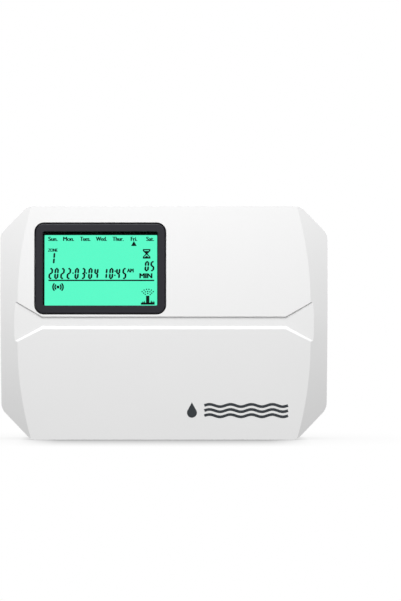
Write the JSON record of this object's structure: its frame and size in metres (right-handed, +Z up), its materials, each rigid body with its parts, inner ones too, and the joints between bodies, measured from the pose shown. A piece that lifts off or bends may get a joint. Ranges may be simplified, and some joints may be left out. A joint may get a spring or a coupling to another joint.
{
  "type": "irrigation controller",
  "caption": "Wall-hung irrigation controller: flat white eight-sided case, hinged front cover with a display window, and press keys and screw terminals inside.",
  "frame": {"origin": "middle of the flat back face, where it meets the wall", "axes": "+X right, +Z up, +Y into the wall, so the front faces -Y"},
  "size_m": [0.212, 0.046, 0.1508],
  "materials": {
    "white_abs": "fine satin texture",
    "grey_abs": "fine matt texture",
    "bezel_plastic": "matt",
    "clear_lens": "clear, polished",
    "lcd_green": "back-lit green",
    "diffuser": "milky",
    "black_plastic": "moulded",
    "circuit_board": "solder mask",
    "steel": "zinc plated",
    "key_rubber": "soft matt",
    "grommet_rubber": "matt",
    "terminal_green": "moulded",
    "can_sleeve": "shrink sleeve",
    "ceramic_blue": "dipped",
    "fuse_glass": "clear"
  },
  "bodies": {
    "housing": {"rear_case": "white_abs", "control_panel": "grey_abs", "display_bezel": "bezel_plastic", "display_lens": "clear_lens", "lcd_panel": "lcd_green", "lcd_backlight": "diffuser", "lcd_pin_strip": "black_plastic", "tact_switch_up": "black_plastic", "tact_switch_down": "black_plastic", "tact_switch_left": "black_plastic", "tact_switch_right": "black_plastic", "tact_switch_ok": "black_plastic", "microcontroller": "black_plastic", "power_inductor": "black_plastic", "bridge_rectifier": "black_plastic", "coin_cell_holder": "black_plastic", "fuse_holder": "black_plastic", "board_header": "black_plastic", "board_socket": "black_plastic", "main_board": "circuit_board", "control_board": "circuit_board", "wifi_module": "circuit_board", "hinge_pin_upper": "steel", "hinge_pin_lower": "steel", "panel_screw_1": "steel", "panel_screw_2": "steel", "panel_screw_3": "steel", "panel_screw_4": "steel", "board_screw_1": "steel", "board_screw_2": "steel", "board_screw_3": "steel", "board_screw_4": "steel", "coin_cell": "steel", "terminal_screw_power_1": "steel", "terminal_screw_power_2": "steel", "terminal_screw_power_3": "steel", "terminal_screw_power_4": "steel", "terminal_screw_valves_1": "steel", "terminal_screw_valves_2": "steel", "terminal_screw_valves_3": "steel", "terminal_screw_valves_4": "steel", "terminal_screw_valves_5": "steel", "terminal_screw_valves_6": "steel", "terminal_screw_valves_7": "steel", "terminal_screw_valves_8": "steel", "terminal_screw_valves_9": "steel", "terminal_screw_valves_10": "steel", "cable_grommet": "grommet_rubber", "terminal_block_power": "terminal_green", "terminal_block_valves": "terminal_green", "capacitor_main": "can_sleeve", "capacitor_aux": "can_sleeve", "surge_varistor": "ceramic_blue", "fuse": "fuse_glass"},
    "cover": {"front_cover": "white_abs"},
    "key_up": {"button_up": "key_rubber"},
    "key_down": {"button_down": "key_rubber"},
    "key_left": {"button_left": "key_rubber"},
    "key_right": {"button_right": "key_rubber"},
    "key_ok": {"button_ok": "key_rubber"}
  },
  "joints": [
    {"name": "cover_hinge", "type": "hinge", "parent": "housing", "child": "cover", "pos_m": [-0.1025, -0.0215, 0], "axis": [0, 0, -1], "range_deg": [0, 120]},
    {"name": "key_up_press", "type": "slide", "parent": "housing", "child": "key_up", "axis": [0, 1, 0], "range_m": [0, 0.001], "stiffness_N_per_m": 800},
    {"name": "key_down_press", "type": "slide", "parent": "housing", "child": "key_down", "axis": [0, 1, 0], "range_m": [0, 0.001], "stiffness_N_per_m": 800},
    {"name": "key_left_press", "type": "slide", "parent": "housing", "child": "key_left", "axis": [0, 1, 0], "range_m": [0, 0.001], "stiffness_N_per_m": 800},
    {"name": "key_right_press", "type": "slide", "parent": "housing", "child": "key_right", "axis": [0, 1, 0], "range_m": [0, 0.001], "stiffness_N_per_m": 800},
    {"name": "key_ok_press", "type": "slide", "parent": "housing", "child": "key_ok", "axis": [0, 1, 0], "range_m": [0, 0.001], "stiffness_N_per_m": 800}
  ]
}
